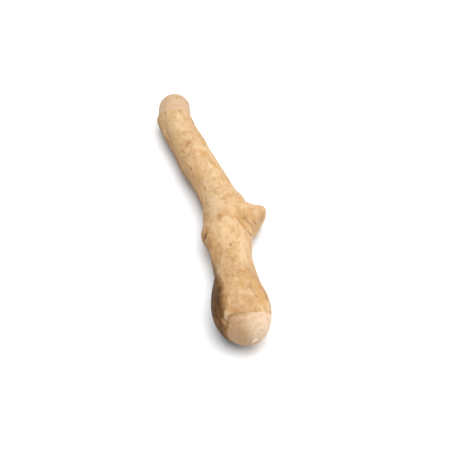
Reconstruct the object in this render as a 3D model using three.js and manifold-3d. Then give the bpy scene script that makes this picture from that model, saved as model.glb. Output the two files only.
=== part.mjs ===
// A coffee wood chew stick: one length of peeled stem from a coffee bush, sawn off and sanded round at both
// ends. It carries the sawn stub of a side branch and, opposite it, the healed scar of that branch's twin.
//
// Millimetres. The stick lies on a table at z = 0. +Y runs along it to the slimmer end, +X points to the side
// that the branch stub is on, +Z is up, and the origin is the middle of the stick's outline on the table.
import * as THREE from "three";
import { mergeVertices } from "three/addons/utils/BufferGeometryUtils.js";
import Module from "manifold-3d";

// The stem, from beyond the thick end to beyond the slim one: the middle of the wood, and half its width and
// half its height there. The wood reaches a little below the table where it bears on it, and is worn flat.
const STEM = [
  { y: -140, x: -5.6, z: 17.8, wide: 5.0, high: 5.0 },
  { y: -131, x: -6.2, z: 18.0, wide: 7.4, high: 7.2 },
  { y: -124, x: -7.0, z: 18.5, wide: 11.6, high: 11.4 },
  { y: -118, x: -7.7, z: 18.8, wide: 15.5, high: 15.4 },
  { y: -112, x: -8.3, z: 18.6, wide: 17.7, high: 17.4 },
  { y: -105, x: -8.6, z: 18.5, wide: 18.9, high: 18.6 },
  { y: -98, x: -8.2, z: 18.4, wide: 18.5, high: 18.8 },
  { y: -87, x: -7.4, z: 17.1, wide: 16.3, high: 16.9 },
  { y: -72, x: -4.9, z: 15.5, wide: 14.1, high: 14.3 },
  { y: -57, x: -4.3, z: 15.1, wide: 13.7, high: 14.0 },
  { y: -42, x: -3.2, z: 15.1, wide: 14.2, high: 15.2 },
  { y: -27, x: -1.4, z: 15.1, wide: 14.9, high: 15.5 },
  { y: -12, x: 0.3, z: 15.3, wide: 14.2, high: 14.7 },
  { y: 4, x: -0.4, z: 15.5, wide: 13.4, high: 13.9 },
  { y: 20, x: -3.1, z: 15.8, wide: 13.4, high: 13.8 },
  { y: 37, x: -6.6, z: 15.8, wide: 13.8, high: 13.7 },
  { y: 54, x: -9.3, z: 15.5, wide: 13.6, high: 13.5 },
  { y: 71, x: -12.2, z: 14.8, wide: 13.8, high: 13.4 },
  { y: 87, x: -14.2, z: 13.8, wide: 13.7, high: 13.4 },
  { y: 101, x: -15.1, z: 13.0, wide: 13.5, high: 13.4 },
  { y: 113, x: -13.2, z: 13.0, wide: 13.6, high: 13.3 },
  { y: 134, x: -9.8, z: 13.0, wide: 13.6, high: 13.3 },
];
const AROUND = 40; // facets round the stem
const ALONG = 90; // rows of facets along it

// Lumps and dips of the skin: the place along the stick, the angle round it in degrees from +X towards +Z,
// half the length and half the width in millimetres, and how far the wood rises.
const LUMPS = [
  { y: -25, angle: 4, long: 14, across: 12, rise: 5.5 }, // foot of the branch stub
  { y: -41, angle: 6, long: 8, across: 9, rise: 2.5 }, // its near side
  { y: -8, angle: 12, long: 4, across: 5, rise: 2.2 }, // shoulder beyond it
  { y: -38, angle: 172, long: 8.5, across: 8, rise: 4.0 }, // scar of the opposite branch
  { y: -107, angle: 78, long: 7, across: 7, rise: 0.6 }, // overgrown knot on top of the thick end
  { y: -100, angle: 262, long: 12, across: 6, rise: 0.5 }, // the same on the underside
  { y: 101, angle: 178, long: 7, across: 7, rise: 1.3 }, // node at the slim end, left
  { y: 91, angle: 14, long: 4, across: 4, rise: 0.8 }, // node at the slim end, right
  { y: 90, angle: 150, long: 22, across: 3, rise: -0.5 }, // groove beside the left node
  { y: 30, angle: 300, long: 16, across: 7, rise: 0.7 },
  { y: -62, angle: 215, long: 14, across: 8, rise: -0.5 },
];

// Slow unevenness all over: waves along the stick and lobes round it.
const UNEVEN = [
  { rise: 0.25, period: 61, lobes: 2, phase: 0.6 },
  { rise: 0.2, period: 37, lobes: 3, phase: 2.1 },
  { rise: 0.12, period: 23, lobes: 1, phase: 4.0 },
];

// The branch stub: a short branch, oval in section, whose foot widens into the stem, sawn off at a slant.
const STUB = {
  foot: new THREE.Vector3(-0.9, -23.6, 15.8), // in the middle of the stem
  towards: new THREE.Vector3(0.965, -0.26, 0.02),
  along: 11.4, // half its width along the stem
  upright: 10.3, // half its height
  length: 44, // before the saw cut
  widening: 4.5,
  widensWithin: 5, // of the stem's skin
};
const STUB_CUT = {
  at: new THREE.Vector3(27.6, -24.6, 17.8),
  facing: new THREE.Vector3(0.82, -0.56, 0.12),
};

// The sanded ends. Each is a round nose, here by its middle, the way it faces and its half sizes: across the
// stick, and along it. Sanding reached back to a rim, where the skin stands proud of it by a ledge. The rim is
// where the planes listed cross the skin.
const THICK_END = {
  middle: new THREE.Vector3(-8.2, -105, 18.3),
  facing: new THREE.Vector3(0.09, -1, -0.03),
  across: 18.2,
  along: 23.8,
  rims: [
    { at: new THREE.Vector3(-8.7, -117.9, 33.1), facing: new THREE.Vector3(-0.07, -0.79, -0.61) }, // on top
    { at: new THREE.Vector3(-21.3, -119.4, 22.3), facing: new THREE.Vector3(0.32, -0.88, 0.34) }, // at the sides
  ],
};
const SLIM_END = {
  middle: new THREE.Vector3(-12.8, 113.6, 13.3),
  facing: new THREE.Vector3(0.16, 0.98, -0.05),
  across: 13.5,
  along: 14,
  rims: [{ at: new THREE.Vector3(-13.9, 106, 13), facing: new THREE.Vector3(-0.03, 0.88, 0.47) }],
};

// Slits of small knots in the skin, each the hollow of a long lens: its middle, the way it runs, half its length
// and its radius.
const SLITS = [
  { at: new THREE.Vector3(-20, -39, 21.4), run: new THREE.Vector3(-0.4, -0.4, -0.82), long: 4.2, round: 1.5 },
  { at: new THREE.Vector3(-26.2, -111.4, 21.6), run: new THREE.Vector3(0, -0.82, -0.57), long: 4.6, round: 1.7 },
];
// A small nib of harder wood left standing on the thick end.
const NIB = { at: new THREE.Vector3(-4.8, -127.0, 17.9), run: new THREE.Vector3(1, 0.1, 0.6), long: 2.9, round: 1.9 };

const BLOCK = 400; // a cube that takes in the whole stick
const SHAFT = 40; // of a sanded end behind its nose, past the rim
const NOSE_ROWS = 9;
const STEM_RADIUS = 15; // where the stub leaves it

const wasm = await Module();
wasm.setup();

const degrees = THREE.MathUtils.degToRad;

// Through the stations of the stem: the middle of the wood, and its half width and half height as x and z.
const pith = new THREE.CatmullRomCurve3(STEM.map((s) => new THREE.Vector3(s.x, s.y, s.z)));
const girth = new THREE.CatmullRomCurve3(STEM.map((s) => new THREE.Vector3(s.wide, s.y, s.high)));

// The shorter way round between two angles, in radians.
function turnBetween(a, b) {
  return Math.atan2(Math.sin(a - b), Math.cos(a - b));
}

// How far the skin stands off the smooth stem of that radius, at a place along it and an angle round it.
function relief(y, angle, radius) {
  let rise = 0;
  for (const lump of LUMPS) {
    const lengthwise = (y - lump.y) / lump.long;
    const crosswise = (radius * turnBetween(angle, degrees(lump.angle))) / lump.across;
    rise += lump.rise * Math.exp(-(lengthwise ** 2) - crosswise ** 2);
  }
  for (const wave of UNEVEN) {
    const turns = (2 * Math.PI * y) / wave.period;
    rise += wave.rise * Math.sin(turns + wave.lobes * angle + wave.phase);
  }
  return rise;
}

// The stem: a cylinder whose rows of vertices are carried onto the curve and swelled to the girth there.
function makeStem() {
  const stem = new THREE.CylinderGeometry(1, 1, 1, AROUND, ALONG);
  const points = stem.getAttribute("position");
  const point = new THREE.Vector3();
  for (let i = 0; i < points.count; i++) {
    point.fromBufferAttribute(points, i);
    const t = THREE.MathUtils.clamp(point.y + 0.5, 0, 1);
    const angle = Math.atan2(point.z, point.x);
    const centre = pith.getPoint(t);
    const half = girth.getPoint(t);
    const side = pith.getTangent(t).cross(new THREE.Vector3(0, 0, 1)).normalize();
    const up = side.clone().cross(pith.getTangent(t));
    const radius = (half.x + half.z) / 2;
    const swell = 1 + relief(centre.y, angle, radius) / radius;
    centre.addScaledVector(side, point.x * half.x * swell).addScaledVector(up, point.z * half.z * swell);
    points.setXYZ(i, centre.x, centre.y, centre.z);
  }
  return stem;
}

// The stub, grown along +Y from the middle of the stem and then turned to its place. It is widest at its foot.
function makeStub() {
  const stub = new THREE.CylinderGeometry(1, 1, STUB.length, 32, 12).translate(0, STUB.length / 2, 0);
  const points = stub.getAttribute("position");
  for (let i = 0; i < points.count; i++) {
    const fromSkin = Math.max(points.getY(i) - STEM_RADIUS, 0);
    const widening = STUB.widening * Math.exp(-fromSkin / STUB.widensWithin);
    points.setX(i, points.getX(i) * (STUB.along + widening));
    points.setZ(i, points.getZ(i) * (STUB.upright + widening / 3));
  }
  const out = STUB.towards.clone().normalize();
  const along = out.clone().cross(new THREE.Vector3(0, 0, 1)).normalize();
  return stub.applyMatrix4(new THREE.Matrix4().makeBasis(along, out, along.clone().cross(out)).setPosition(STUB.foot));
}

// Turns a shape made round +Y to face the way given, and moves its origin to the place given.
function aimed(shape, place, facing) {
  const turn = new THREE.Quaternion().setFromUnitVectors(new THREE.Vector3(0, 1, 0), facing.clone().normalize());
  return shape.applyQuaternion(turn).translate(place.x, place.y, place.z);
}

// Everything that sanding one end leaves: what is inside the nose or its shaft, or behind a plane of the rim.
function makeSanded({ middle, facing, across, along, rims }) {
  const profile = [new THREE.Vector2(0, -SHAFT), new THREE.Vector2(across, -SHAFT)];
  for (let i = NOSE_ROWS; i >= 0; i--) {
    const a = ((Math.PI / 2) * i) / NOSE_ROWS;
    profile.push(new THREE.Vector2(i === 0 ? 0 : across * Math.sin(a), along * Math.cos(a)));
  }
  let left = toSolid(aimed(new THREE.LatheGeometry(profile, 44), middle, facing));
  for (const rim of rims) {
    const behind = new THREE.BoxGeometry(BLOCK, BLOCK, BLOCK).translate(0, -BLOCK / 2, 0);
    left = left.add(toSolid(aimed(behind, rim.at, rim.facing)));
  }
  return left;
}

// The far side of a flat saw cut: a block whose face passes through the place given.
function makeCutBlock({ at, facing }) {
  const block = new THREE.BoxGeometry(60, 60, 60).translate(0, 30, 0);
  return aimed(block, at, facing);
}

function makeLens({ at, run, long, round }, columns, rows) {
  return aimed(new THREE.SphereGeometry(1, columns, rows).scale(round, long, round), at, run);
}

// A closed three.js shape as a solid that can be joined and cut.
function toSolid(shape) {
  shape.deleteAttribute("normal");
  shape.deleteAttribute("uv");
  const merged = mergeVertices(shape, 1e-4);
  return new wasm.Manifold(
    new wasm.Mesh({
      numProp: 3,
      vertProperties: new Float32Array(merged.getAttribute("position").array),
      triVerts: new Uint32Array(merged.index.array),
    }),
  );
}

// A solid as a three.js shape with flat facets.
function toShape(solid) {
  const { vertProperties, triVerts } = solid.getMesh();
  const shape = new THREE.BufferGeometry();
  shape.setAttribute("position", new THREE.BufferAttribute(new Float32Array(vertProperties), 3));
  shape.setIndex(new THREE.BufferAttribute(new Uint32Array(triVerts), 1));
  const faceted = shape.toNonIndexed();
  faceted.computeVertexNormals();
  return faceted;
}

function makeStick() {
  const table = new THREE.BoxGeometry(BLOCK, BLOCK, BLOCK).translate(0, 0, -BLOCK / 2);
  let stick = toSolid(makeStem()).add(toSolid(makeStub()).subtract(toSolid(makeCutBlock(STUB_CUT))));
  stick = stick.intersect(makeSanded(THICK_END)).intersect(makeSanded(SLIM_END));
  stick = stick.add(toSolid(makeLens(NIB, 16, 10)));
  for (const slit of SLITS) stick = stick.subtract(toSolid(makeLens(slit, 12, 8)));
  return toShape(stick.subtract(toSolid(table)));
}

// The middle of the outline on the table becomes the origin.
function centred(shape) {
  shape.computeBoundingBox();
  const { min, max } = shape.boundingBox;
  return shape.translate(-(min.x + max.x) / 2, -(min.y + max.y) / 2, -min.z);
}

const peeledWood = new THREE.MeshStandardMaterial({ color: 0xe2bd8c, roughness: 0.72, metalness: 0 });

const stick = new THREE.Mesh(centred(makeStick()), peeledWood);
stick.name = "stick";

const chewStick = new THREE.Group();
chewStick.add(stick);

export default chewStick;
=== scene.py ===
import math

import bpy
import numpy as np
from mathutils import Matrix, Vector, noise


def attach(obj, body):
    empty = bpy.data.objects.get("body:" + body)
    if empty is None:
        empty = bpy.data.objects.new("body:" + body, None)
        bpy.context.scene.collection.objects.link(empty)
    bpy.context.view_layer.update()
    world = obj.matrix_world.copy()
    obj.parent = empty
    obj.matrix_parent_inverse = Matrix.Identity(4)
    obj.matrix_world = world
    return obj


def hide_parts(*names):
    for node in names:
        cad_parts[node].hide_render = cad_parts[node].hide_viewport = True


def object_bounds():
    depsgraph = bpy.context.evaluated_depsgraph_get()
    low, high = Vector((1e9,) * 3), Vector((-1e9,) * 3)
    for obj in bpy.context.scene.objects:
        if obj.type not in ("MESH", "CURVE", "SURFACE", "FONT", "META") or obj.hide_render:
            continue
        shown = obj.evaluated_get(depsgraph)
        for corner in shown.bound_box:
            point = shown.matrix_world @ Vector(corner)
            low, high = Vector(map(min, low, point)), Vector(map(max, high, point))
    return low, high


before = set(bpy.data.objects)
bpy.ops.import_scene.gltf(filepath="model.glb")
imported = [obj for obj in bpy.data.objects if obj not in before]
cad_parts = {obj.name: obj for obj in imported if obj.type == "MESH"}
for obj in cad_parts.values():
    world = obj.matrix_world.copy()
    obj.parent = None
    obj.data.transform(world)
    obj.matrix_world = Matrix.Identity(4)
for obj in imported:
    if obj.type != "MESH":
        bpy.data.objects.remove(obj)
solid_box = [list(corner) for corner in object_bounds()]

MM = 0.001  # lengths are in millimetres, apart from those of the table and the lights, which are in metres

# The camera looks down on the stick from beside its thick end.
LOOK_AT = (-1.66, -27.7, 15.0)
CAMERA_TURN = -13  # degrees round from straight behind the thick end
CAMERA_RISE = 47  # degrees above the table
CAMERA_DISTANCE = 495
CAMERA_VIEW = 36  # degrees across the picture
SENSOR_WIDTH = 36
NEAREST_SEEN = 10  # nothing nearer to the camera is drawn

# The table, and the soft light over it: each lamp's name, place, width and power.
TABLE_HALF = 3.0
LAMPS = [("softbox", (0.1, -0.12, 1.27), 1.4, 21.3), ("side", (1.0, -0.3, 0.6), 0.6, 3)]
LIGHT_ALL_ROUND = 0.42
FULL_LIGHT = 1.5  # how bright a white sheet would be in the photo's full light

# How finely the wood is meshed, and how far its facets are smoothed out.
VOXEL = 0.6
SMOOTHING_ROUNDS = 17
SMOOTHING_STEP = 0.5
RIM_HALF_WIDTH = 1.2  # this near to a rim the smoothing is held back, by the shares that follow
THICK_RIM_HELD = 0.75
SLIM_RIM_HELD = 0.6
MOST_HELD = 0.8

# The middle of the wood along the stick, as y, x and z.
PITH = [
    (-128, -6.9, 18.0), (-111, -9.0, 18.6), (-97, -8.9, 18.4), (-86, -8.1, 17.1), (-71, -5.6, 15.5),
    (-56, -5.0, 15.1), (-41, -3.9, 15.1), (-26, -2.1, 15.1), (-11, -0.4, 15.3), (5, -1.1, 15.5),
    (21, -3.8, 15.8), (38, -7.3, 15.8), (55, -10.0, 15.5), (72, -12.9, 14.8), (88, -14.9, 13.8),
    (102, -15.8, 13.0), (114, -13.9, 13.0), (128, -11.6, 13.0),
]
SLIM_END_FROM = 60  # past here along the stick any sanded wood is the slim end's

# Where sanding stopped at each end, and the saw cut of the branch stub: a point and the way it faces, away
# from the wood's skin.
THICK_RIMS = [
    ((-9.4, -117.3, 33.1), (-0.07, -0.79, -0.61)),
    ((-22.0, -118.8, 22.3), (0.32, -0.88, 0.34)),
]
SLIM_RIMS = [((-14.6, 106.6, 13.0), (-0.03, 0.88, 0.47))]
SAW_CUT = ((26.9, -24.0, 17.8), (0.82, -0.56, 0.12))
STUB_MIDDLE = (26.9, -25.6, 16.6)
STUB_REACH = 16  # the cut is the wood within this of the stub's middle
CUT_NEARNESS = 0.3  # and within this of the saw's plane
WORN_TOP = ((15.7, -34.8, 25.4), (0.68, -0.34, 0.65))  # past here the upper edge of the cut is worn back
WORN_SIDE = ((26.9, -26.4, 12.0), (0.76, -0.58, -0.30))  # and its lower edge past here
WORN_REACH = 19  # the worn edges are within this of the stub's middle
FAR_BEHIND = -9  # wood further away than that counts as lying this far behind both of those planes

# How far before and past each edge the one surface turns into the other.
THICK_RIM_BLEND = (-0.5, 0.7)
SLIM_RIM_BLEND = (-0.9, 0.9)
WORN_TOP_BLEND = (-0.2, 0.5)

# How much further down each end the sanding reaches at each angle round it.
THICK_WANDER = (
    [-180, -30, 0, 20, 40, 55, 112, 128, 150, 165, 180],
    [0, -1.5, -3, -2.5, -1, 0, 0, -0.9, -1.1, -0.3, 0],
)
SLIM_WANDER = ([-180, -60, 45, 100, 125, 150, 180], [-2, 1.5, 2.6, 1.8, 0, -3, -2])

# The thick end's rim: how deep the line along it is, and how dark, at each angle, the painted shadow under
# its ledge is.
RIM_DEPTH = 0.2
RIM_SHADE = ([50, 70, 90, 122, 134, 150, 175], [0.08, 0.2, 0.34, 0.36, 0.55, 0.5, 0.08])

# The lines that the growth rings go round: a point on each, and the way it runs.
THICK_HEART = ((-8.0, -104.0, 18.6), (0.05, -1.0, 0.0))
SLIM_HEART = ((-13.5, 114.0, 13.6), (0.16, 0.98, -0.05))
STUB_HEART = ((-1.6, -23.0, 17.0), (0.965, -0.26, 0.02))

# The low waves of the skin and of the sanded ends: the height, the width and length of each wave, and where
# its noise starts.
SKIN_WAVES = [(0.25, 9, 26, 3.7), (0.16, 3.6, 11, 9.2), (0.07, 1.5, 5, 21.4)]
SANDED_WAVES = [(0.1, 8, 8, 5.5)]

# Creases in the skin near the stub, through points in space: the points, the half width, the depth, and how
# brown each is.
CREASES = [
    (
        [(4, -31, 29.5), (5, -34, 29), (6, -37, 28), (7.7, -40, 26.5), (9.5, -42.5, 24.7), (11, -44.5, 22.5)],
        1.1, 0.75, 0.4,
    ),
    ([(10, -43.4, 24), (11.6, -44.7, 21), (12.8, -45, 17.5)], 0.9, 0.6, 0.6),
    (
        [(8, -29.5, 28), (10.2, -34.3, 26.2), (12.4, -37.6, 23.8), (14.6, -39.8, 20.6), (15.8, -40.6, 17.6)],
        1.0, 0.8, 0.3,
    ),
    ([(11.6, -32.4, 26.6), (14.2, -35.6, 24.6), (16.2, -37.9, 21.6)], 0.7, 0.3, 0.15),
    ([(13.4, -11, 24), (14.2, -16, 24), (14.2, -21.5, 25.5)], 0.7, 0.45, 0.35),
]
# Rounded ridges beside them: the points, the half width, and the height.
FOLDS = [
    ([(6.9, -33, 28.4), (8.6, -37, 26.9), (11, -40.8, 23.8), (13.4, -42.6, 19.5)], 1.2, 0.45),
    ([(10.4, -32.2, 27.2), (12.4, -35.6, 25.4), (14.6, -38.2, 22.6), (16.8, -39, 19)], 0.9, 0.35),
    ([(3, -33, 29.8), (4.4, -40, 28.2), (8, -45.4, 24.4)], 1.8, 0.3),
    ([(11.4, -9, 25), (12.6, -13, 25.7), (13, -17, 26), (12.8, -21, 27.2)], 0.9, 0.55),
]
# Fine streaks of colour on the stub and beside it, through points in space: the points, the half width, and
# the strength.
# The first pale streak, along the stub's upper edge, and the fourth, along its lower edge, are painted
# highlights.
PALE_STREAKS = [
    (
        [
            (14, -18, 26), (17.5, -20.8, 25.8), (21.4, -22.6, 25.4), (24.5, -24.4, 25.5), (27.5, -22.4, 21.1),
            (29.4, -20.4, 17.6),
        ],
        1.8, 1.0,
    ),
    ([(12, -22.6, 27.2), (17, -24.6, 27)], 1.0, 0.5),
    ([(20.6, -25.3, 25.2), (20.9, -26.9, 24.1), (20.3, -29.1, 23.5)], 2.0, 1.0),
    (
        [
            (29.6, -21, 15), (28.5, -23, 11), (26, -26.8, 10.8), (23.5, -30.4, 11), (20.5, -34.6, 12),
            (17.8, -38.4, 13),
        ],
        2.0, 1.0,
    ),
    ([(19.4, -34.6, 18.6), (22, -31.6, 15.5)], 1.2, 0.7),
    ([(11.4, -36.6, 25.4), (13.8, -39, 21.6), (15.6, -39.8, 17.6)], 0.7, 0.8),
    ([(8.6, -36, 27), (10.6, -39.6, 24.8), (12.8, -42, 21)], 0.6, 0.6),
    ([(13, -34.6, 25.8), (15.2, -37.2, 23), (16.8, -38.2, 19)], 0.5, 0.6),
]
HONEY_STREAKS = [
    ([(16.4, -26, 27.2), (15, -30.3, 27), (14.5, -34.3, 25.6), (15.2, -37, 23.4)], 1.5, 1.0),
    ([(7, -27, 28), (11, -28, 27.6)], 1.6, 0.7),
    ([(4, -32, 29.4), (8, -37.6, 27.2), (11, -42.2, 23.6)], 3.6, 0.9),
]
# The third dark streak is a painted shadow beside the upper edge of the cut.
DARK_STREAKS = [
    ([(15.4, -35.6, 25), (16.6, -36.6, 23.2), (17.6, -37, 20.5)], 1.4, 0.36),
    ([(25, -27, 16.4), (25.4, -26.8, 13.6)], 0.8, 0.3),
    ([(16.9, -25.7, 27), (16.6, -29.6, 27), (16, -32.8, 26.3)], 0.9, 0.3),
    ([(8.6, -32.2, 27.6), (10.1, -34, 26.4), (12, -35.8, 24.8)], 1.2, 0.38),
    ([(14.4, -24, 27), (18.6, -25.6, 26.6)], 0.5, 0.3),
    ([(5.8, -28, 29.3), (7.2, -31.4, 28.4), (8.6, -35.6, 26.9)], 1.5, 0.3),
]
# How each kind of line fades towards its ends: the share of its length that is cut off there, and the power.
CREASE_FADE = (0.08, 0.6)
FOLD_FADE = (0, 0.7)
STREAK_FADE = (0.1, 0.5)
GROOVE_FADE = (0.05, 0.5)

# From here on a place on the skin is how far along the stick it is, and the angle round it in degrees from +X
# towards +Z. Long creases: the places that each runs through, the half width, the depth, and how brown it is.
GROOVES = [
    ([(0, 150), (-7, 146), (-14, 150), (-21, 155), (-31, 152)], 1.1, 0.3, 0.35),
    ([(-37.6, 147), (-39.2, 151), (-40.3, 158), (-40.3, 166), (-39.8, 174)], 1.5, 0.7, 0.75),
    ([(100, 121), (98, 127), (93, 136), (86, 148), (80, 154), (68, 160), (54, 168)], 1.0, 0.5, 0.45),
    ([(88, 142), (78, 149), (68, 152), (60, 160)], 0.7, 0.25, 0.2),
    ([(28.6, 138), (26.4, 142), (24.2, 146.5)], 0.9, 0.25, 0.75),
    ([(-104, 152), (-109, 157), (-113, 163), (-116, 174)], 0.8, 0.5, 0.8),
    ([(-98, 146), (-104, 150), (-108, 160)], 0.8, 0.35, 0.5),
    ([(-103, 200), (-96, 206), (-84, 204)], 0.9, 0.35, 0.5),
    ([(-60, 236), (-40, 244), (-22, 238)], 1.0, 0.3, 0.3),
    ([(20, 318), (40, 310), (64, 316)], 1.0, 0.3, 0.3),
    ([(-98, 79), (-101, 75), (-104, 66), (-106, 60)], 0.8, 0.25, 0.3),
]
# Single lumps and pits: the place, half the length, half the width, and how far the wood rises.
LUMPS = [
    (-52, 14, 9, 7, 1.0),
    (-17, 165, 9, 7, 0.8),
    (5, 172, 10, 6, 0.7),
    (78, 172, 12, 5, 1.3),
    (-113, 134, 2.4, 1.8, 0.9),
    (-108, 124, 3.5, 2.2, 0.3),
    (-33.4, 43, 1.8, 1.6, -0.45),
    (-57.5, 92, 1.4, 1.0, -0.6),
    (96.4, 76, 1.0, 1.4, -0.4),
    (83, 39, 2.2, 1.6, 0.7),
    (115, 22, 1.3, 1.3, 0.5),
    (-20, 330, 14, 8, 0.6),
    (58, 262, 16, 7, -0.6),
    (36, 188, 12, 9, 1.3),
    (72, 192, 9, 9, -1.4),
]
# Small dead knots on the sides away from the camera: the place, and the radius of the hole.
DEAD_KNOTS = [
    (76, 196, 1.4), (66, 187, 1.0), (40, 352, 1.3), (10, 258, 1.6),
    (-96, 332, 1.7), (-64, 212, 1.4), (22, 212, 0.9), (92, 300, 1.2),
]
DEAD_KNOT_STRETCH = 1.4  # how much longer than wide they are
KNOT = (-110, 91, 8.0, 7.8)  # the whorl of the overgrown knot: its middle, half length and half width

# The nib in the middle of the thick end.
NIB = (-6.8, -128.0, 17.6)
NIB_RADIUS = 1.7
NIB_WIDTH = 1.1  # how much wider it is than high
MOAT = 0.8  # how deep the wood round it is worn
MOAT_HALF_WIDTH = 0.9
NIB_SHADOW = (-9.5, -128.0, 17.1)  # painted shadow: the brown spot on its left
NIB_SHADOW_RADIUS = 1.3

# The darker growth rings of the thick end: the radius, half the width, and the strength.
DARK_RINGS = [(13.0, 1.1, 0.35), (10.4, 0.9, 0.2), (7.6, 0.9, 0.2), (4.6, 0.8, 0.25)]
# Painted shade: the thick end darkens between the first two angles and clears between the last two, the most
# by this much.
DARK_SIDE = (68, 172)
DARK_SIDE_END = (290, 340)
DARK_SIDE_SHADE = 1.17
BRIGHT_SIDE = 40  # the angle, facing the light, that the painted shade leaves brightest
SLIM_END_GROWTH = 0.59  # how dark the slim end is, all over

# Painted shade: the sides away from the light are painted tan between these angles, in radians above and
# below
# +X, and this is how much of that each part along the stick has.
SHADED_LEFT = (1.95, 2.9)
SHADED_BELOW = (1.2, 2.4)
SHADED_SHARE = ([-128, -50, 10, 60, 95], [1.0, 1.1, 0.75, 1.0, 0.5])
# Past this angle the skin is dark: weather-worn bark, and painted shade. How far along the stick, and the
# angle.
WEATHERED_AND_SHADE_EDGE = [
    (-128, 142), (-114, 139), (-104, 128), (-93, 124), (-83, 132), (-72, 152),
    (-58, 164), (-30, 165), (10, 168), (60, 166), (128, 160),
]
WEATHERED_AND_SHADE_END = (230, 300)  # it fades out between these angles, underneath
SWELLING = (54, 84)  # it grows to its full strength between these distances before the stick's middle

# Patches of colour: the place, half the length, half the width, and the strength.
HONEY = [
    (36, 78, 5, 3.5, 1.0), (41, 84, 3, 2.5, 0.6), (24, 66, 6, 3, 0.9), (-12, 72, 4, 3.5, 0.8),
    (-9, 104, 3, 3, 0.6), (-27, 57, 4, 3, 0.5), (-91, 70, 4, 4, 0.8), (-95, 57, 5, 4, 0.8),
    (100, 92, 1.6, 2, 0.9), (-102, 56, 4, 2.5, 0.9), (-107, 50, 6, 4, 1.0), (-112, 42, 5, 3, 0.8),
    (-98, 86, 3, 3, 0.8), (60, 250, 8, 5, 0.8), (-40, 280, 7, 5, 0.9), (-80, 300, 9, 4, 0.8),
    (100, 330, 6, 4, 0.7), (5, 10, 6, 4, 0.7), (-70, 10, 8, 4, 0.6), (-54, 138, 10, 5, 0.4),
]
# Some tan patches on the left side, such as those at -90 and -58 along, are painted shade.
TAN = [
    (-84, 75, 24, 24, 0.4), (-102, 110, 16, 14, 0.5), (-94, 32, 18, 12, 0.9), (-108, 138, 8, 4, 0.6),
    (-102, 126, 11, 4, 0.9), (-109, 88, 14, 12, 0.6), (-103, 60, 9, 8, 0.8), (-90, 128, 10, 4, 0.7),
    (-58, 140, 14, 6, 0.5), (-33, 50, 6, 5, 0.6), (-92, 20, 12, 8, 0.5), (-29.5, 38, 5, 5, 0.7),
    (66, 92, 3, 5, 0.8), (52, 105, 3, 4, 0.9), (-98, 86, 3, 3, 0.9), (-88, 108, 8, 6, 0.6),
    (-82, 120, 8, 4, 0.6), (-33, 106, 5, 2, 0.9), (-28.5, 86, 2, 2, 0.4), (-49, 158, 7, 4, 0.9),
    (-43, 154, 4, 3, 0.8), (-107, 126, 3, 3, 0.8), (-114, 105, 3, 8, 0.6), (-106, 104, 7, 9, 0.45),
    (46.6, 134, 4, 1.2, 0.9), (4, 136, 4, 1.6, 0.8), (1.6, 158, 4, 2, 0.8), (-36.7, 22, 2, 2, 0.9),
    (-28, 2, 3, 2, 0.8), (14, 142, 7, 4, 0.6), (-37, 36, 5, 4, 0.6), (-96, 64, 7, 5, 0.6),
    (-37, 149, 5, 4, 1.1), (-47, 156, 7, 4.5, 1.25), (-36, 161, 6, 4, 1.2),
]
# Olive patches on the side away from the light: partly painted shade.
OLIVE = [
    (87, 109, 8, 4, 0.7), (73, 129, 10, 4, 0.9), (58, 147, 10, 5, 0.8), (45, 153, 10, 5, 0.8),
    (33, 153, 7, 4, 0.6), (14, 146, 7, 4, 0.9),
]
PALE = [
    (85, 86, 8, 3, 0.8), (74, 98, 6, 3, 0.6), (44, 81, 3, 5, 0.6), (22, 82, 4, 2, 1.0),
    (-8, 131, 4, 3, 0.6), (-14, 113, 7, 5, 0.9), (-20, 106, 6, 5, 0.8), (-24, 120, 5, 4, 0.7),
    (-36, 89, 4, 4, 0.7), (-39, 79, 4, 3, 0.7), (-54, 52, 10, 3, 0.8), (-63, 60, 10, 3, 0.9),
    (-71, 68, 6, 3, 0.6), (-104, 84, 2.5, 4, 0.5), (-106, 73, 2, 3, 0.6), (-111, 32, 4, 2, 0.8),
    (-113, 135, 2, 1.4, 1.0), (-115.4, 141, 2.4, 1.2, 0.9), (-116, 152, 4, 1.5, 0.8), (-29, 28, 2, 2, 0.8),
    (-111, 95, 1.5, 1.5, 0.4), (12, 87, 3.5, 2.4, 1.0), (20, 89, 3, 2, 0.8), (-110, 176, 4.5, 1.8, 0.7),
    (-114, 182, 3, 1.5, 0.5), (72, 78, 9, 6, 0.4), (78, 123, 8, 5, 0.4), (2, 119, 9, 6, 0.35),
]
BROWN = [
    (46.6, 134, 3, 0.9, 0.35), (85.4, 159, 1.6, 1.1, 0.45), (96.4, 76, 1.2, 1.6, 0.6),
    (99.5, 124, 2, 1.0, 0.5), (82, 39, 2.2, 1.5, 0.6), (98, 126, 3, 1, 0.5), (4, 136, 3, 1.0, 0.3),
    (-57.5, 92, 2.0, 1.3, 0.5), (-33.4, 43, 1.6, 1.3, 0.45), (-47, 156, 5, 3.5, 0.2),
    (-106.8, 62, 1.0, 1.6, 0.35), (-110, 150, 4, 1.4, 0.5), (-112, 178, 5, 3, 0.6), (-118, 196, 4, 3, 0.5),
]
RUST = [(-39.8, 158, 3, 1.6, 0.6), (-112.6, 160, 3.4, 1.6, 1.0), (-115.3, 168, 2.4, 1.3, 0.9)]
# Where the skin's freckles are stronger.
FRECKLED = [
    (-72, 108, 10, 8, 0.8), (-84, 96, 12, 10, 1.0), (-96, 112, 10, 8, 1.0), (-90, 70, 8, 6, 0.6),
    (-62, 300, 14, 8, 0.6), (-5, 90, 14, 10, 0.4),
]
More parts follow.
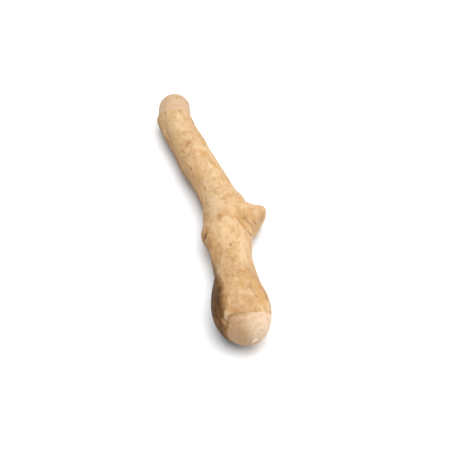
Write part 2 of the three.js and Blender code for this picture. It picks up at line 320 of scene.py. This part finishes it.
# Darker patches of the slim end's sanded wood, and a painted highlight on the thick end's, just under its
# rim.
END_STAINS = [
    (114.5, 70, 1.8, 5, 0.8), (112.5, 40, 2.2, 2.5, 0.8), (104, 84, 1.6, 4, 0.9), (102.5, 68, 1.4, 2, 0.6),
    (108, 122, 2, 2, 0.5), (110, 10, 3, 3, 0.5), (112, 230, 4, 3, 0.6), (120, 300, 3, 3, 0.6),
    (124, 120, 2, 3, 0.5),
]
END_LIGHTS = [(-119.8, 86, 2.2, 4, 0.3)]

# Washes that the finish lays over a colour, each of which also lays painted shade, and how wide open the
# bark's cracks are.
TAN_WASH = (0.76, 0.66, 0.54, 1)
WEATHERED_AND_SHADE_WASH = (0.62, 0.44, 0.28, 1)
CRACKS_OPEN = (0.56, 0.64)


def seen(red, green, blue):
    """The wood's own colour, from how it looks in the photo's full light."""
    def linear(part):
        part /= 255
        return part / 12.92 if part <= 0.04045 else ((part + 0.055) / 1.055) ** 2.4
    return tuple(linear(part) / FULL_LIGHT for part in (red, green, blue)) + (1,)


def smooth_step(value, low, high):
    """From 0 below low to 1 above high, with no kink."""
    t = np.clip((value - low) / (high - low), 0, 1)
    return t * t * (3 - 2 * t)


def bell(value, half_width):
    """1 at 0, and falling towards 0 on both sides."""
    return np.exp(-((value / half_width) ** 2))


def noise_over(points, across, along, start):
    """Smooth noise from -1 to 1 over the points, with patches of that size across and along the stick."""
    scaled = points / np.array([across, along, across]) + start
    return np.array([noise.noise(place) for place in scaled.tolist()])


def from_spot(points, spot):
    """The distance from a point in space."""
    return np.linalg.norm(points - np.array(spot), axis=1)


def from_line(points, line):
    """The distance from a straight line."""
    at, way = (np.array(part, float) for part in line)
    way /= np.linalg.norm(way)
    offset = points - at
    return np.linalg.norm(offset - (offset @ way)[:, None] * way, axis=1)


def facing_of(plane):
    """The way that a plane faces, 1 long."""
    facing = np.array(plane[1], float)
    return facing / np.linalg.norm(facing)


def ahead_of(points, plane):
    """How far the points lie in front of a plane."""
    return (points - np.array(plane[0], float)) @ facing_of(plane)


def beyond_rim(points, rims):
    """How far the points lie past a rim on its sanded side; less than 0 is skin."""
    return np.min([ahead_of(points, rim) for rim in rims], axis=0)


def along_path(points, path):
    """The distance from a path, and how far along it each point lies, from 0 to 1."""
    path = np.array(path, float)
    steps = np.diff(path, axis=0)
    lengths = np.linalg.norm(steps, axis=1)
    before = np.concatenate([[0], np.cumsum(lengths)[:-1]])
    nearest = np.full(len(points), np.inf)
    place = np.zeros(len(points))
    for start, step, length, gone in zip(path, steps, lengths, before):
        share = np.clip((points - start) @ step / length**2, 0, 1)
        distance = np.linalg.norm(points - start - share[:, None] * step, axis=1)
        closer = distance < nearest
        nearest[closer] = distance[closer]
        place[closer] = ((gone + share * length) / lengths.sum())[closer]
    return nearest, place


def fading(place, cut_off, power):
    """1 in the middle of a path, and falling towards both of its ends: to 0 there, if nothing is cut off."""
    return np.sin(np.pi * (cut_off + (1 - 2 * cut_off) * place)) ** power


def most(*masks):
    """The greatest of several values at each point."""
    return np.maximum.reduce(masks)


def link(thing):
    bpy.context.scene.collection.objects.link(thing)


class Wood:
    """The stick's fine mesh while it is being shaped, in millimetres."""

    def __init__(self, node, name):
        self.piece = bpy.data.objects.new(name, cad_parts[node].data.copy())
        link(self.piece)
        remesh = self.piece.modifiers.new("remesh", "REMESH")
        remesh.mode = "VOXEL"
        remesh.voxel_size = VOXEL * MM
        bpy.context.view_layer.update()
        shown = self.piece.evaluated_get(bpy.context.evaluated_depsgraph_get())
        self.mesh = bpy.data.meshes.new_from_object(shown)
        self.piece.modifiers.clear()
        self.piece.data = self.mesh
        self.mesh.name = name
        count = len(self.mesh.vertices)
        flat = np.empty(count * 3)
        self.mesh.vertices.foreach_get("co", flat)
        self.points = flat.reshape(-1, 3) / MM
        ends = np.empty(len(self.mesh.edges) * 2, int)
        self.mesh.edges.foreach_get("vertices", ends)
        self.edges = ends.reshape(-1, 2)
        self.neighbours = np.bincount(ends, minlength=count)

    def spread(self, values):
        """The mean of each vertex's neighbours."""
        first, second = self.edges.T
        count = len(values)
        sums = [
            np.bincount(first, column[second], count) + np.bincount(second, column[first], count)
            for column in values.T
        ]
        return np.stack(sums, axis=1) / self.neighbours[:, None]

    def smooth(self, rounds, strength):
        for _ in range(rounds):
            self.points += SMOOTHING_STEP * strength[:, None] * (self.spread(self.points) - self.points)

    def write(self):
        self.mesh.vertices.foreach_set("co", (self.points * MM).ravel())
        self.mesh.update()

    def normals(self):
        self.write()
        flat = np.empty(len(self.points) * 3)
        self.mesh.vertex_normals.foreach_get("vector", flat)
        return flat.reshape(-1, 3)

    def keep(self, name, values):
        """Stores a value for each vertex, for the finish to read."""
        layer = self.mesh.attributes.new(name, "FLOAT", "POINT")
        layer.data.foreach_set("value", values.astype(np.float32))


class Skin:
    """Where each point is on the skin: how far along the stick, and its angle and distance from the pith."""

    def __init__(self, points):
        stations = np.array(PITH, float)
        self.points = points
        self.along = points[:, 1]
        across = points[:, 0] - np.interp(self.along, stations[:, 0], stations[:, 1])
        up = points[:, 2] - np.interp(self.along, stations[:, 0], stations[:, 2])
        self.angle = np.arctan2(up, across)
        self.reach = np.hypot(up, across)
        self.wander_along = 1.6 * noise_over(points, 3.2, 4.5, 41.3)
        self.wander_across = 1.2 * noise_over(points, 2.6, 4.0, 57.1)
        self.ragged = noise_over(points, 1.7, 3.4, 73.9)

    def divide(self, past_thick, past_slim, past_top, sawn):
        """Divides the wood into sanded ends, saw cut and bare skin, with uneven edges between them."""
        uneven = 0.6 * noise_over(self.points, 6, 6, 12.6) + 0.3 * noise_over(self.points, 2.2, 2.2, 2.6)
        degrees = np.degrees(self.angle)
        self.past_thick = past_thick + uneven + np.interp(degrees, *THICK_WANDER)
        self.past_slim = past_slim + 1.5 * uneven + np.interp(degrees, *SLIM_WANDER)
        thick_end = smooth_step(self.past_thick, *THICK_RIM_BLEND)
        slim_end = smooth_step(self.past_slim, *SLIM_RIM_BLEND)
        self.sanded = np.maximum(thick_end, slim_end)
        self.sawn = np.maximum(sawn, smooth_step(past_top + 0.5 * uneven, *WORN_TOP_BLEND))
        self.bare = (1 - self.sanded) * (1 - self.sawn)

    def offset(self, y, degrees):
        """How far each point is from a place on the skin, along the stick and round it."""
        turn = self.angle - math.radians(degrees)
        return self.along - y, self.reach * np.arctan2(np.sin(turn), np.cos(turn))

    def groove(self, places):
        """The distance along the skin from a path of places, and how far along it each point lies."""
        middle = sum(degrees for _, degrees in places) / len(places)
        beside = np.abs(self.along - places[len(places) // 2][0]) < 4
        reach = np.median(self.reach[beside])
        along, across = self.offset(0, middle)
        path = [(y, reach * math.radians(degrees - middle)) for y, degrees in places]
        wander = np.stack([along + 0.3 * self.wander_along, across + 0.3 * self.wander_across], axis=1)
        return along_path(wander, path)

    def patches(self, places):
        """Patches with uneven, soft edges."""
        covered = np.zeros(len(self.points))
        for y, degrees, long, wide, strength in places:
            along, across = self.offset(y, degrees)
            wander = min(1.0, wide / 3)
            blob = bell(along + wander * self.wander_along, long)
            blob *= bell(across + wander * self.wander_across, wide)
            patch = strength * smooth_step(blob + 0.22 * wander * self.ragged, 0.22, 0.75)
            covered = np.maximum(covered, patch)
        return covered

    def streaks(self, paths):
        """Fine streaks through points in space."""
        covered = np.zeros(len(self.points))
        for path, half_width, strength in paths:
            distance, place = along_path(self.points, path)
            line = bell(distance, half_width) * fading(place, *STREAK_FADE)
            covered = np.maximum(covered, strength * line)
        return covered


def smooth_and_saw(wood):
    """Smooths the facets out and sharpens the stub's cut. Gives how far each point lies past the two sanded
    ends' rims and past the cut's worn upper edge, and which points are sawn."""
    past_thick = beyond_rim(wood.points, THICK_RIMS)
    past_slim = beyond_rim(wood.points, SLIM_RIMS)
    from_stub = from_spot(wood.points, STUB_MIDDLE)
    sawn = (from_stub < STUB_REACH) & (np.abs(ahead_of(wood.points, SAW_CUT)) < CUT_NEARNESS)
    held = THICK_RIM_HELD * bell(past_thick, RIM_HALF_WIDTH) + SLIM_RIM_HELD * bell(past_slim, RIM_HALF_WIDTH)
    wood.smooth(SMOOTHING_ROUNDS, 1 - np.clip(held, 0, MOST_HELD))

    wood.points[sawn] -= ahead_of(wood.points[sawn], SAW_CUT)[:, None] * facing_of(SAW_CUT)
    near_edge = from_stub < WORN_REACH
    past_top = np.where(near_edge, ahead_of(wood.points, WORN_TOP), FAR_BEHIND)
    for plane in (WORN_SIDE, WORN_TOP):
        past = np.where(near_edge, ahead_of(wood.points, plane), FAR_BEHIND)
        wood.points -= np.maximum(past, 0)[:, None] * facing_of(plane)
    return past_thick, past_slim, past_top, sawn


def waves(skin):
    """How far the low waves of the skin and of the sanded ends raise each point."""
    rise = np.zeros(len(skin.points))
    for share, heights in ((skin.bare, SKIN_WAVES), (skin.sanded, SANDED_WAVES)):
        for height, across, along, start in heights:
            rise += share * height * noise_over(skin.points, across, along, start)
    return rise


def creases(skin):
    """How far the creases, folds and grooves raise each point, and how brown they and the patches make it."""
    rise = np.zeros(len(skin.points))
    brown = skin.patches(BROWN)
    for path, half_width, height in FOLDS:
        distance, place = along_path(skin.points, path)
        rise += height * bell(distance, half_width) * fading(place, *FOLD_FADE)
    lines = [(along_path(skin.points, path), CREASE_FADE, *line) for path, *line in CREASES]
    lines += [(skin.groove(places), GROOVE_FADE, *line) for places, *line in GROOVES]
    for (distance, place), fade, half_width, depth, stain in lines:
        line = bell(distance, half_width) * fading(place, *fade)
        rise -= depth * line
        brown = np.maximum(brown, stain * line)
    return rise, brown


def lumps(skin):
    """How far the single lumps and pits raise each point."""
    rise = np.zeros(len(skin.points))
    for y, degrees, long, wide, height in LUMPS:
        along, across = skin.offset(y, degrees)
        rise += height * bell(along, long) * bell(across, wide)
    return rise


def dead_knots(skin):
    """How far the dead knots raise each point, and where their holes and the pale wood round them are."""
    rise, holes, halos = np.zeros((3, len(skin.points)))
    for y, degrees, radius in DEAD_KNOTS:
        along, across = skin.offset(y, degrees)
        out = np.hypot(along / DEAD_KNOT_STRETCH, across) / radius + 0.3 * skin.ragged
        collar = 0.45 * bell(out, 3.0) + 0.2 * bell(out - 1.8, 0.7)
        rise += radius * (collar - 1.1 * bell(out, 0.8))
        holes = np.maximum(holes, bell(out, 0.95))
        halos = np.maximum(halos, bell(out - 2.2, 0.8))
    return rise, holes, halos


def whorl(skin):
    """How far the overgrown knot raises each point, and the arcs that turn round it."""
    y, degrees, long, wide = KNOT
    along, across = skin.offset(y, degrees)
    wander = noise_over(skin.points, 4, 4, 88.1)
    out = np.hypot(along / long, across / wide) + 0.2 * wander
    arcs = (0.5 + 0.5 * np.cos(15 * out + 2.5 * wander)) * bell(out, 0.85)
    return skin.bare * (0.16 * arcs + 0.25 * bell(out, 0.7) - 0.2 * bell(out - 1.05, 0.12)), arcs


def nib_and_moat(skin):
    """How far each point is from the nib, and the ring worn round it, which fades below."""
    from_nib = np.linalg.norm((skin.points - np.array(NIB)) / (NIB_WIDTH, 1, 1), axis=1)
    from_nib += 0.25 * skin.wander_across
    moat = bell(from_nib - NIB_RADIUS - 1, MOAT_HALF_WIDTH) * smooth_step(skin.points[:, 2] - NIB[2], -3, 1)
    return from_nib, moat


def weathering_and_shade(skin, turn):
    """How dark the side away from the light is: weather-worn bark, and painted shade."""
    places, angles = zip(*WEATHERED_AND_SHADE_EDGE)
    edge = np.interp(skin.along, places, angles)
    swelling = smooth_step(-skin.along, *SWELLING)
    side = smooth_step(turn, edge - 4 - 6 * swelling, edge + 16 - 3 * swelling)
    side *= 1 - smooth_step(turn, *WEATHERED_AND_SHADE_END)
    weathered_and_shade = side * (0.35 + 0.65 * swelling) * (1 + 0.2 * skin.ragged)
    weathered_and_shade *= 1 - 0.5 * smooth_step(skin.past_thick, -5, 0)
    return np.clip(weathered_and_shade, 0, 1) * (1 - skin.sanded) * (1 - 0.6 * skin.patches(PALE))


def end_rings_and_shade(skin, turn):
    """How dark the sanded ends are: rings and painted shade on the thick one, and the slim one all over."""
    rings = from_line(skin.points, THICK_HEART) + 0.6 * skin.wander_across
    rings_and_shade = sum(strength * bell(rings - radius, half_width) for radius, half_width, strength in DARK_RINGS)
    rings_and_shade += 0.08 * (1 - bell((turn + 180) % 360 - 180 - BRIGHT_SIDE, 45))
    dark_side = smooth_step(turn, *DARK_SIDE) * (1 - smooth_step(turn, *DARK_SIDE_END))
    dark_side *= smooth_step(rings, 1, 8)
    rings_and_shade += DARK_SIDE_SHADE * dark_side
    return np.clip(np.where(skin.along > SLIM_END_FROM, SLIM_END_GROWTH, rings_and_shade), 0, 1)


def ring_radius(skin):
    """The distance from the line that the rings go round at each point's own cut or end."""
    thick, slim, stub = (from_line(skin.points, heart) for heart in (THICK_HEART, SLIM_HEART, STUB_HEART))
    return np.where(skin.sawn > 0, stub, np.where(skin.along > SLIM_END_FROM, slim, thick))


def colour_wood(wood, skin, brown, holes, halos, arcs, from_nib, moat):
    """Stores what the finish needs to know at each point."""
    points, sanded, bare = skin.points, skin.sanded, skin.bare
    turn = np.degrees(skin.angle) % 360 + 2.5 * skin.wander_across
    rings = ring_radius(skin)
    thick_half = skin.along < 0

    # Painted shadow under the ledge of the thick end's rim.
    rim_line = bell(skin.past_thick + 0.6, 0.8) * np.interp(np.degrees(skin.angle), *RIM_SHADE)
    slim_line = 0.35 * bell(skin.past_slim + 0.5, 0.5) * smooth_step(skin.wander_along, -0.2, 0.6)
    # The worn ring round the nib is faintly brown; on the nib's left it and the spot beside it are painted
    # shadow.
    moat_line = moat * (0.08 + 0.3 * smooth_step(NIB[0] - points[:, 0], -1.5, 2))
    nib_shadow = 0.55 * bell(from_spot(points, NIB_SHADOW), NIB_SHADOW_RADIUS)
    # Dark streaks near the stub; one is a painted shadow beside the cut.
    dark_streaks = skin.streaks(DARK_STREAKS)
    # The nib's pale top is a painted highlight.
    nib = bell(from_nib, 0.7 * NIB_RADIUS)

    # A tan band on the top of the thick end, just under its rim.
    band_under_rim = (1 - smooth_step(skin.past_thick, 1.2, 3.0)) * smooth_step(skin.angle, 1.1, 1.7) * thick_half
    # Painted shade: the sides away from the light, and below, are painted tan.
    shaded = smooth_step(skin.angle + 0.3 * skin.ragged, *SHADED_LEFT)
    shaded += smooth_step(-skin.angle, *SHADED_BELOW)
    shaded *= (0.7 + 0.5 * noise_over(points, 9, 22, 33.3)) * np.interp(skin.along, *SHADED_SHARE)
    skin_tan = most(skin.patches(TAN), 0.5 * arcs * bare, shaded) * (1 - sanded)
    skin_pale = most(skin.patches(PALE), skin.streaks(PALE_STREAKS), 0.7 * halos) * (1 - sanded)
    # Painted highlights: on the thick end's side that faces the light, and just under its rim.
    bright_side = bell(skin.angle - 0.6, 0.7) * smooth_step(rings, 5, 12) * thick_half
    end_pale = most(0.35 * bright_side, skin.patches(END_LIGHTS)) * sanded
    skin_brown = brown * (1 - sanded)

    # Of these, tan also holds painted shade, brown holds painted shadows, and pale holds painted highlights.
    wood.keep("sanded", sanded)
    wood.keep("sawn", skin.sawn)
    wood.keep("rings", rings)
    wood.keep("rings_and_shade", end_rings_and_shade(skin, turn))
    wood.keep("weathered_and_shade", weathering_and_shade(skin, turn))
    wood.keep("brown", most(skin_brown, rim_line, slim_line, moat_line, nib_shadow, dark_streaks, holes))
    wood.keep("honey", most(skin.patches(HONEY), skin.streaks(HONEY_STREAKS)) * bare)
    wood.keep("tan", most(skin_tan, band_under_rim * sanded, skin.patches(END_STAINS) * sanded))
    wood.keep("olive", skin.patches(OLIVE) * bare)
    wood.keep("pale", most(skin_pale, nib, end_pale))
    wood.keep("rust", skin.patches(RUST))
    wood.keep("freckled", skin.patches(FRECKLED) * bare)


def shape_wood():
    """The whole stick, from the frame's solid."""
    wood = Wood("stick", "chew_stick")
    edges = smooth_and_saw(wood)
    normals = wood.normals()
    skin = Skin(wood.points)
    skin.divide(*edges)

    creased, brown = creases(skin)
    knotted, holes, halos = dead_knots(skin)
    whorled, arcs = whorl(skin)
    from_nib, moat = nib_and_moat(skin)
    rise = waves(skin) + creased + lumps(skin) + knotted + whorled
    rise -= RIM_DEPTH * bell(skin.past_thick + 0.7, 0.6) + MOAT * moat
    low, high = (np.array(corner) / MM for corner in solid_box)
    wood.points = np.clip(skin.points + rise[:, None] * normals, low, high)
    wood.write()

    colour_wood(wood, skin, brown, holes, halos, arcs, from_nib, moat)
    wood.mesh.shade_smooth()
    return wood.piece


class Wire:
    """A value that runs through a material's nodes, so that sums on it can be written as they are."""

    def __init__(self, nodes, socket):
        self.nodes = nodes
        self.socket = socket

    def calculate(self, operation, first, second):
        return self.nodes.add("ShaderNodeMath", {"operation": operation}, {0: first, 1: second})

    def __add__(self, other):
        return self.calculate("ADD", self, other)

    def __radd__(self, other):
        return self.calculate("ADD", other, self)

    def __sub__(self, other):
        return self.calculate("SUBTRACT", self, other)

    def __rsub__(self, other):
        return self.calculate("SUBTRACT", other, self)

    def __mul__(self, other):
        return self.calculate("MULTIPLY", self, other)

    def __rmul__(self, other):
        return self.calculate("MULTIPLY", other, self)

    def step(self, low, high):
        """From 0 at low to 1 at high, with soft shoulders."""
        settings = {"interpolation_type": "SMOOTHSTEP"}
        return self.nodes.add("ShaderNodeMapRange", settings, {0: self, 1: low, 2: high})


class Finish:
    """A new material and the nodes that make it."""

    def __init__(self, name):
        self.material = bpy.data.materials.new(name)
        self.material.use_nodes = True
        self.tree = self.material.node_tree
        self.shader = self.tree.nodes["Principled BSDF"]

    def feed(self, socket, value):
        if isinstance(value, Wire):
            self.tree.links.new(value.socket, socket)
        else:
            socket.default_value = value

    def add(self, kind, settings, inputs, output=0):
        """A node of that kind, with its settings made first and its sockets fed after."""
        node = self.tree.nodes.new(kind)
        for name, value in settings.items():
            setattr(node, name, value)
        for name, value in inputs.items():
            self.feed(node.inputs[name], value)
        return Wire(self, node.outputs[output])

    def kept(self, name):
        """A value that was stored for each vertex."""
        return self.add("ShaderNodeAttribute", {"attribute_name": name}, {}, "Fac")

    def stretched(self, across, along, start):
        """Places on the object, counted in patches of that size across and along the stick."""
        places = self.add("ShaderNodeTexCoord", {}, {}, "Object")
        scale = (1 / (across * MM), 1 / (along * MM), 1 / (across * MM))
        settings = {"operation": "MULTIPLY_ADD"}
        return self.add("ShaderNodeVectorMath", settings, {0: places, 1: scale, 2: (start, start, start)})

    def noise(self, across, along, start, detail=2.0):
        """Noise round 0.5, with patches of that size across and along the stick."""
        inputs = {"Vector": self.stretched(across, along, start), "Scale": 1.0, "Detail": detail}
        return self.add("ShaderNodeTexNoise", {}, inputs)

    def mix(self, mask, below, above, blend="MIX"):
        settings = {"data_type": "RGBA", "blend_type": blend}
        return self.add("ShaderNodeMix", settings, {0: mask, 6: below, 7: above}, 2)

    def shade(self, colour, amount):
        """The colour made lighter or darker by a value round 1."""
        greys = self.add("ShaderNodeCombineXYZ", {}, {0: amount, 1: amount, 2: amount})
        return self.add("ShaderNodeVectorMath", {"operation": "MULTIPLY"}, {0: colour, 1: greys})

    def give(self, name, value):
        self.feed(self.shader.inputs[name], value)


def skin_colour(wood, mottle, fibres, blush, specks):
    """Cream and tan clouds, honey patches, fine mottling, fibres and freckles, with painted shade and
    highlights.
    """
    clouds = wood.noise(6.5, 13, 4.1)
    patches = wood.noise(4.4, 8.5, 17.7)
    colour = wood.mix(clouds.step(0.38, 0.62), seen(229, 185, 132), seen(243, 204, 154))
    colour = wood.mix(patches.step(0.54, 0.7) * 0.7, colour, seen(222, 173, 116))
    colour = wood.mix(blush.step(0.52, 0.68) * 0.5, colour, seen(240, 206, 170))
    colour = wood.mix((1 - blush).step(0.54, 0.7) * 0.5, colour, seen(206, 162, 106))
    colour = wood.mix(wood.kept("olive") * 0.5, colour, seen(218, 184, 130))
    # The tan wash also lays painted shade on the sides away from the light.
    colour = wood.mix(wood.kept("tan") * 0.8, colour, TAN_WASH, "MULTIPLY")
    colour = wood.mix(wood.kept("honey") * 0.8, colour, seen(226, 176, 112))
    # Pale patches, and painted highlights along the stub's edges.
    colour = wood.mix(wood.kept("pale") * 0.85, colour, seen(248, 215, 172))
    freckles = specks.step(0.52, 0.72) * (wood.kept("freckled") * 0.35 + 0.2)
    colour = wood.mix(freckles, colour, seen(172, 124, 72))
    return wood.shade(colour, (mottle - 0.5) * 0.42 + (fibres - 0.5) * 0.14 + 1.0)


def cut_colour(wood, mottle, rings, saw):
    """The saw cut: rings, and the saw's fine lines across them."""
    colour = wood.mix(rings.step(0.35, 0.65), seen(214, 166, 113), seen(232, 190, 138))
    colour = wood.mix(wood.kept("tan") * 0.6, colour, seen(186, 144, 96))
    colour = wood.mix(wood.kept("pale") * 0.8, colour, seen(248, 214, 176))
    return wood.shade(colour, (saw - 0.5) * 0.3 + (mottle - 0.5) * 0.2 + 1.0)


def end_colour(wood, mottle, fibres, blush, rings):
    """Sanded ends: pinkish cream with faint rings, painted shade on the thick one's dark side, and painted
    highlights.
    """
    rings_and_shade = wood.kept("rings_and_shade")
    colour = wood.mix(rings.step(0.3, 0.7), seen(252, 220, 182), seen(256, 229, 196))
    # Darker rings, and painted shade on the thick end's side away from the light.
    colour = wood.mix(rings_and_shade * 0.85, colour, seen(200, 155, 109))
    colour = wood.mix(wood.kept("tan") * 0.6, colour, seen(214, 170, 122))
    # Painted highlights on the nib, on the lit side and just under the rim, brighter than full light.
    colour = wood.mix(wood.kept("pale"), colour, seen(268, 238, 214))
    colour = wood.mix(blush.step(0.5, 0.64) * 0.4, colour, seen(234, 184, 142))
    colour = wood.shade(colour, (rings - 0.5) * rings_and_shade * 0.5 + 1.0)
    return wood.shade(colour, (mottle - 0.5) * 0.26 + (fibres - 0.5) * 0.08 + 1.0)


def stains_and_shade(wood, colour, mottle, cracks, weathered_and_shade, brown):
    """The colour under weather-worn bark and painted shade, brown marks and painted shadows, and rust."""
    bark = wood.noise(4, 14, 113.7, 5.0) * 0.6 + wood.noise(0.6, 9, 127.1) * 0.4
    bark_colour = wood.mix(bark.step(0.36, 0.64), seen(77, 47, 2), seen(133, 90, 28))
    bark_colour = wood.mix(cracks.step(*CRACKS_OPEN) * 0.6, bark_colour, seen(56, 33, 10))
    bark_colour = wood.mix((1 - cracks).step(0.58, 0.68) * 0.4, bark_colour, seen(170, 128, 76))
    # Weather-worn bark, darkened further by painted shade on the side away from the light.
    colour = wood.mix(weathered_and_shade, colour, WEATHERED_AND_SHADE_WASH, "MULTIPLY")
    colour = wood.mix(weathered_and_shade, colour, bark_colour)
    # Brown marks, and painted shadows along the thick rim, round the nib and beside the cut.
    colour = wood.mix((brown * (mottle * 0.5 + 0.75)).step(0.0, 1.0) * 0.9, colour, seen(116, 76, 40))
    return wood.mix(wood.kept("rust") * (bark + 0.4), colour, seen(134, 73, 8))


def wood_finish():
    """Bare wood: peeled skin, the saw cut, the sanded ends, and the stains and painted shade over all of
    them.
    """
    wood = Finish("bare_wood")
    sanded, sawn, weathered_and_shade, brown = (wood.kept(name) for name in ("sanded", "sawn", "weathered_and_shade", "brown"))
    mottle = wood.noise(1.5, 3.2, 31.3)
    fibres = wood.noise(0.32, 6.0, 47.9)
    blush = wood.noise(2.4, 4.4, 71.9)
    specks = wood.noise(1.15, 1.8, 61.3)
    saw = wood.noise(2.5, 0.7, 93.1)
    cracks = wood.noise(0.9, 12, 139.3, 3.0)
    uneven_radius = wood.kept("rings") + (wood.noise(5, 5, 8.3) - 0.5) * 2.4
    radius_only = wood.add("ShaderNodeCombineXYZ", {}, {0: uneven_radius})
    rings = wood.add("ShaderNodeTexNoise", {}, {"Vector": radius_only, "Scale": 1.1, "Detail": 3.0})

    colour = skin_colour(wood, mottle, fibres, blush, specks)
    colour = wood.mix(sawn, colour, cut_colour(wood, mottle, rings, saw))
    colour = wood.mix(sanded, colour, end_colour(wood, mottle, fibres, blush, rings))
    wood.give("Base Color", stains_and_shade(wood, colour, mottle, cracks, weathered_and_shade, brown))

    wood.give("Roughness", (mottle - 0.5) * 0.2 + sanded * -0.08 + sawn * 0.1 + brown * 0.08 + 0.66)
    wood.give("Specular IOR Level", 0.22)
    height = fibres * (1 - sanded) * 0.5 + mottle * 0.5 + specks * (1 - sanded) * 0.3 + rings * sanded * 0.15
    height = height - cracks.step(*CRACKS_OPEN) * weathered_and_shade * 0.6
    inputs = {"Strength": 0.6, "Distance": 0.4 * MM, "Height": height + saw * sawn * 0.8}
    wood.give("Normal", wood.add("ShaderNodeBump", {}, inputs))
    return wood.material


def add_camera():
    turn, rise = math.radians(CAMERA_TURN), math.radians(CAMERA_RISE)
    back = Vector((math.sin(turn) * math.cos(rise), -math.cos(turn) * math.cos(rise), math.sin(rise)))
    lens = bpy.data.cameras.new("camera")
    lens.sensor_width = SENSOR_WIDTH
    lens.lens = SENSOR_WIDTH / 2 / math.tan(math.radians(CAMERA_VIEW) / 2)
    lens.clip_start = NEAREST_SEEN * MM
    camera = bpy.data.objects.new("camera", lens)
    camera.location = (Vector(LOOK_AT) + back * CAMERA_DISTANCE) * MM
    camera.rotation_mode = "QUATERNION"
    camera.rotation_quaternion = back.to_track_quat("Z", "Y")
    link(camera)
    bpy.context.scene.camera = camera


def add_table():
    corners = [(x * TABLE_HALF, y * TABLE_HALF, 0) for x, y in ((-1, -1), (1, -1), (1, 1), (-1, 1))]
    mesh = bpy.data.meshes.new("floor")
    mesh.from_pydata(corners, [], [(0, 1, 2, 3)])
    floor = bpy.data.objects.new("floor", mesh)
    link(floor)
    white = Finish("white_table")
    white.give("Base Color", (0.9, 0.915, 0.93, 1))
    white.give("Roughness", 0.9)
    white.give("Specular IOR Level", 0.1)
    mesh.materials.append(white.material)


def add_lamp(name, at, width, power):
    """A round soft light that faces the middle of the stick."""
    data = bpy.data.lights.new(name, "AREA")
    data.shape = "DISK"
    data.size = width
    data.energy = power
    lamp = bpy.data.objects.new(name, data)
    lamp.location = at
    lamp.rotation_mode = "QUATERNION"
    lamp.rotation_quaternion = (Vector(at) - Vector(LOOK_AT) * MM).to_track_quat("Z", "Y")
    link(lamp)


def add_light():
    world = bpy.data.worlds.new("studio")
    world.use_nodes = True
    background = world.node_tree.nodes["Background"]
    background.inputs["Color"].default_value = (1, 1, 1, 1)
    background.inputs["Strength"].default_value = LIGHT_ALL_ROUND
    bpy.context.scene.world = world
    bpy.context.scene.view_settings.view_transform = "Standard"
    for lamp in LAMPS:
        add_lamp(*lamp)


stick = shape_wood()
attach(stick, "root")
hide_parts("stick")
stick.data.materials.clear()
stick.data.materials.append(wood_finish())
add_camera()
add_table()
add_light()
